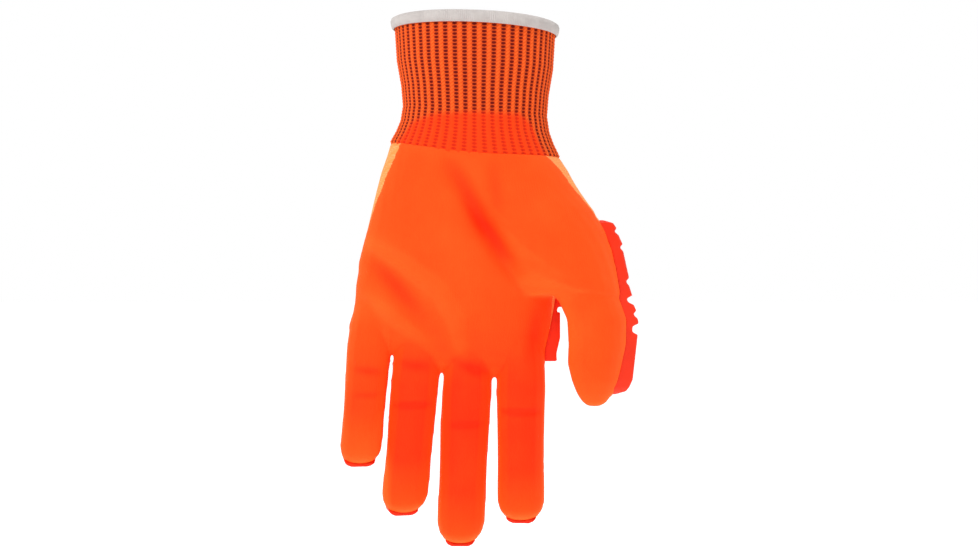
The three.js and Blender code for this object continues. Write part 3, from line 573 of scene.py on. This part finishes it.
def rib_knit():
    made, tree, shader = material(
        "polyester_rib_knit", Roughness=0.85, Sheen_Weight=0.15, Sheen_Roughness=0.5,
        Specular_IOR_Level=0.15)
    shader.inputs["Sheen Tint"].default_value = linear("#FFA060")
    grid = add(tree, "ShaderNodeUVMap", uv_map="ribs_and_rows").outputs[0]
    axes = add(tree, "ShaderNodeSeparateXYZ", {0: grid})
    from_gutter = add(tree, "ShaderNodeMath", {0: axes.outputs[0], 1: 0.5}, operation="PINGPONG")
    from_row = add(tree, "ShaderNodeMath", {0: axes.outputs[1], 1: 0.5}, operation="PINGPONG")
    wide = add(tree, "ShaderNodeMath", {0: from_gutter.outputs[0], 1: 1 / DOT_WIDE},
               operation="MULTIPLY")
    high = add(tree, "ShaderNodeMath", {0: from_row.outputs[0], 1: 1 / DOT_HIGH},
               operation="MULTIPLY")
    wide_part = add(tree, "ShaderNodeMath", {0: wide.outputs[0], 1: 2.0}, operation="POWER")
    high_part = add(tree, "ShaderNodeMath", {0: high.outputs[0], 1: 2.0}, operation="POWER")
    away = add(tree, "ShaderNodeMath", {0: wide_part.outputs[0], 1: high_part.outputs[0]})
    dot = add(tree, "ShaderNodeMapRange", {"Value": away.outputs[0], "From Min": 0.6,
                                           "From Max": 1.3, "To Min": 1.0, "To Max": 0.0})
    coat = add(tree, "ShaderNodeAttribute", attribute_name="dipped").outputs["Fac"]
    twist = add(tree, "ShaderNodeMath", {0: axes.outputs[0], 1: 2.0, 2: axes.outputs[1]},
                operation="MULTIPLY_ADD")
    strand = add(tree, "ShaderNodeMath", {0: twist.outputs[0], 1: 0.5}, operation="PINGPONG")
    raised = add(tree, "ShaderNodeMath", {0: strand.outputs[0], 1: from_gutter.outputs[0]})
    crest_share = add(tree, "ShaderNodeMapRange", {"Value": raised.outputs[0], "From Min": 0.15,
                                                   "From Max": 0.8})
    # painted shade: the yarn is darker towards the gutters and between the slanted twist strands
    yarn = add(tree, "ShaderNodeMix", {0: crest_share.outputs[0], 6: linear(RIB_PAINTED_SHADE),
                                       7: linear(RIB_ORANGE)}, data_type="RGBA")
    dipped = add(tree, "ShaderNodeMix", {0: coat, 6: yarn.outputs[2], 7: linear(RIB_DIPPED)},
                 data_type="RGBA")
    dark = add(tree, "ShaderNodeMix", {0: coat, 6: linear(GUTTER_MAROON), 7: linear(GUTTER_DIPPED)},
               data_type="RGBA")
    tint = add(tree, "ShaderNodeMix", {0: dot.outputs[0], 6: dipped.outputs[2], 7: dark.outputs[2]},
               data_type="RGBA")
    tree.links.new(tint.outputs[2], shader.inputs["Base Color"])
    place = add(tree, "ShaderNodeTexCoord").outputs["Object"]
    fuzz = add(tree, "ShaderNodeTexNoise", {"Vector": place, "Scale": 1 / (0.4 * MM)})
    bump = add(tree, "ShaderNodeBump", {"Height": fuzz.outputs["Fac"], "Strength": 0.5,
                                        "Distance": 0.15 * MM})
    tree.links.new(bump.outputs[0], shader.inputs["Normal"])
    return made


RIB = rib_knit()
print(RIB.name)

# %% Cuff on its grid
cuff = new_object("ribbed_cuff", cuff_points, grid_faces(DOWN, AROUND), RIB)
cuff.data.attributes.new("dipped", "FLOAT", "POINT").data.foreach_set(
    "value", cuff_dip)
layer = cuff.data.uv_layers.new(name="ribs_and_rows")
for face in cuff.data.polygons:
    wraps = max(v % AROUND for v in face.vertices) - min(v % AROUND for v in face.vertices) > 1
    for loop_index, corner in zip(face.loop_indices, face.vertices):
        column = corner % AROUND
        if wraps and column == 0:
            column = AROUND
        rib, row = column / FACES_TO_A_RIB, (corner // AROUND) * ROWS / (DOWN - 1)
        layer.data[loop_index].uv = (rib, row)
print("cuff faces", len(cuff.data.polygons))

# %% Inside of the cuff
INNER_DOWN, INNER_AROUND = 24, RIBS * 3
CUFF_THICKNESS = 2.1 * MM
inner_drops = np.linspace(CUFF_TOP, CUFF_FOOT, INNER_DOWN)
inner_turns = np.linspace(0, 2 * np.pi, INNER_AROUND, endpoint=False)
drop_grid, turn_grid = np.meshgrid(inner_drops, inner_turns, indexing="ij")
inside_points = cuff_place(drop_grid, turn_grid, -CUFF_THICKNESS).reshape(-1, 3)
inside_faces = grid_faces(INNER_DOWN, INNER_AROUND)[:, ::-1]
cuff_inside = new_object("cuff_inside", inside_points, inside_faces, KNIT)
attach(cuff, "root")
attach(cuff_inside, "root")
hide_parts("rib_cuff")
print("inside of the cuff made")

# %% [markdown]
# The cuff's raw edge is bound by an overlock seam: pale polyester thread laid over the edge,
# loop beside loop, about 0.76 mm apart. Each loop is a small ridge in the grid of the band.

# %% Bound edge
THREAD_PITCH = 0.76 * MM
EDGE_ROUND = 215 * MM
THREADS = round(EDGE_ROUND / THREAD_PITCH)
STEPS_TO_A_THREAD = 5
THREAD_RELIEF = 0.16 * MM
THREAD_SLANT = 0.25
BAND_MIDDLE, BAND_FLAT = -1.05, 0.8
# the band's outline: drop and out in mm, from its outer foot over the edge to its inner foot
BAND = np.array([
    (5.2, 0.5), (4.6, 1.1), (3.2, 1.35), (1.6, 1.25), (0.5, 0.7), (0.0, -0.4), (-0.15, -1.1),
    (0.0, -1.8), (0.5, -2.8), (1.6, -3.35), (3.2, -3.4), (4.8, -3.0),
])


def overlock_thread():
    made, tree, shader = material(
        "spun_polyester_thread", Roughness=0.8, Sheen_Weight=0.3, Specular_IOR_Level=0.3)
    place = add(tree, "ShaderNodeTexCoord").outputs["Object"]
    wear = add(tree, "ShaderNodeTexNoise", {"Vector": place, "Scale": 260.0, "Detail": 3.0})
    tint = add(tree, "ShaderNodeMix", {0: wear.outputs["Fac"], 6: linear(THREAD_GREY),
                                       7: linear(THREAD_PALE)}, data_type="RGBA")
    tree.links.new(tint.outputs[2], shader.inputs["Base Color"])
    fibre = add(tree, "ShaderNodeTexNoise", {"Vector": place, "Scale": 1 / (0.3 * MM)})
    bump = add(tree, "ShaderNodeBump", {"Height": fibre.outputs["Fac"], "Strength": 0.5,
                                        "Distance": 0.1 * MM})
    tree.links.new(bump.outputs[0], shader.inputs["Normal"])
    return made


THREAD = overlock_thread()
print(THREAD.name)

# %% Loops of thread round the edge
steps = THREADS * STEPS_TO_A_THREAD
turns = np.linspace(0, 2 * np.pi, steps, endpoint=False)
rings = []
for k, (drop, out) in enumerate(BAND):
    ridge = THREAD_RELIEF * np.cos(turns * THREADS + THREAD_SLANT * k)
    # the ridges stand out from the band's sides, and up from its top
    on_top = abs(out - BAND_MIDDLE) <= BAND_FLAT
    away = 0 if on_top else np.sign(out - BAND_MIDDLE)
    ring = cuff_place(np.full(steps, max(drop, 0) * MM), turns, out * MM + ridge * away)
    ring[:, 2] += ridge * (1 - abs(away)) - min(drop, 0) * MM
    rings.append(ring)
band_points = np.concatenate(rings)
band_faces = grid_faces(len(BAND), steps)
band = new_object("bound_edge", band_points, band_faces[:, ::-1], THREAD)
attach(band, "root")
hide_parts("cuff_binding")
print("threads round the edge", THREADS)

# %% [markdown]
# The guards are thermoplastic rubber, moulded in one shot and welded to the knit. Moulded
# rubber has no sharp edge, so each CAD guard is melted and eased like the skin, on the node
# itself. The rubber is satin, a little darker and redder than the dip, with mould texture.

# %% Moulded rubber
GUARD_VOXEL = 0.42 * MM
GUARD_EASES = 3


def moulded_rubber():
    made, tree, shader = material(
        "moulded_thermoplastic_rubber", Roughness=0.5, Specular_IOR_Level=0.2)
    place = add(tree, "ShaderNodeTexCoord").outputs["Object"]
    cloud = add(tree, "ShaderNodeTexNoise", {"Vector": place, "Scale": 90.0, "Detail": 3.0})
    tint = add(tree, "ShaderNodeMix", {0: cloud.outputs["Fac"], 6: linear(RUBBER_DEEP),
                                       7: linear(RUBBER_ORANGE)}, data_type="RGBA")
    tree.links.new(tint.outputs[2], shader.inputs["Base Color"])
    grain = add(tree, "ShaderNodeTexNoise", {"Vector": place, "Scale": 1 / (0.5 * MM)})
    bump = add(tree, "ShaderNodeBump", {"Height": grain.outputs["Fac"], "Strength": 0.3,
                                        "Distance": 0.08 * MM})
    tree.links.new(bump.outputs[0], shader.inputs["Normal"])
    return made


RUBBER = moulded_rubber()
print(RUBBER.name)

# %% Guards
for node in GUARDS:
    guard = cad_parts[node]
    guard.data.materials.clear()
    guard.data.materials.append(RUBBER)
    melt = guard.modifiers.new("melt", "REMESH")
    melt.mode = "VOXEL"
    melt.voxel_size = GUARD_VOXEL
    melt.use_smooth_shade = True
    ease = guard.modifiers.new("ease", "SMOOTH")
    ease.factor = 0.5
    ease.iterations = GUARD_EASES
print("guards eased", len(GUARDS))

# %% [markdown]
# The stage is a plain white floor and soft, even light, as in a product photograph: a broad
# light from the upper left, a weaker one from the right and a white surround. The surround
# lights the glove less from the front than from behind, which keeps the form of the palm.

# %% Floor and surround
FLOOR_Z = -0.33
FRONT_LEVEL = 0.3
corners = [(-6, -3, FLOOR_Z), (6, -3, FLOOR_Z), (6, 9, FLOOR_Z), (-6, 9, FLOOR_Z)]
floor_white, _, _ = material(
    "pale_floor", Base_Color=linear("#FFFFFF"), Roughness=1.0,
    Emission_Color=linear("#FFFFFF"), Emission_Strength=0.4)
floor = new_object("floor", corners, [(0, 1, 2, 3)], floor_white)

world = bpy.data.worlds.new("surround")
bpy.context.scene.world = world
world.use_nodes = True
sky = world.node_tree
backdrop = sky.nodes["Background"]
backdrop.inputs["Color"].default_value = (1, 1, 1, 1)
place = add(sky, "ShaderNodeTexCoord").outputs["Generated"]
way = add(sky, "ShaderNodeSeparateXYZ", {0: place})
level = add(sky, "ShaderNodeMapRange", {"Value": way.outputs["Y"], "From Min": -0.6,
                                        "From Max": 0.25, "To Min": FRONT_LEVEL, "To Max": 1.0})
seen = add(sky, "ShaderNodeLightPath").outputs["Is Camera Ray"]
strength = add(sky, "ShaderNodeMath", {0: level.outputs[0], 1: seen}, operation="MAXIMUM")
sky.links.new(strength.outputs[0], backdrop.inputs["Strength"])
print("surround", FRONT_LEVEL, "in front, 1 behind")

# %% Lights
MIDDLE = Vector((0, 0, -0.12))


def soft_light(name, place, size, power):
    lamp = bpy.data.lights.new(name, "AREA")
    lamp.size = size
    lamp.energy = power
    holder = bpy.data.objects.new(name, lamp)
    bpy.context.scene.collection.objects.link(holder)
    holder.location = place
    toward = MIDDLE - Vector(place)
    holder.rotation_euler = toward.to_track_quat("-Z", "Y").to_euler()
    return holder


LIGHTS = [
    soft_light("key", (-0.45, -0.7, 0.8), 0.45, 10.0),
    soft_light("fill", (0.9, -0.7, 0.3), 0.8, 2.5),
]
print("lights", [light.name for light in LIGHTS])

# %% Camera
# The camera looks straight at the palm from 0.6 m, with a lens that gives the photo's scale on
# the glove: 0.475 mm to a pixel of a picture 978 pixels wide, on a sensor 36 mm wide.
PHOTO_WIDTH_PX = 978
MM_PER_PX = 0.475
CAMERA_AWAY = 0.6
SENSOR = 36
camera = bpy.data.objects.new("camera", bpy.data.cameras.new("camera"))
bpy.context.scene.collection.objects.link(camera)
camera.location = (0.00665, -CAMERA_AWAY, -0.1199)
camera.rotation_euler = (math.radians(90), 0, 0)
camera.data.lens = SENSOR * CAMERA_AWAY / (PHOTO_WIDTH_PX * MM_PER_PX * MM)
print("lens", round(camera.data.lens, 1), "mm")
bpy.context.scene.camera = camera
bpy.context.scene.view_settings.view_transform = "Standard"
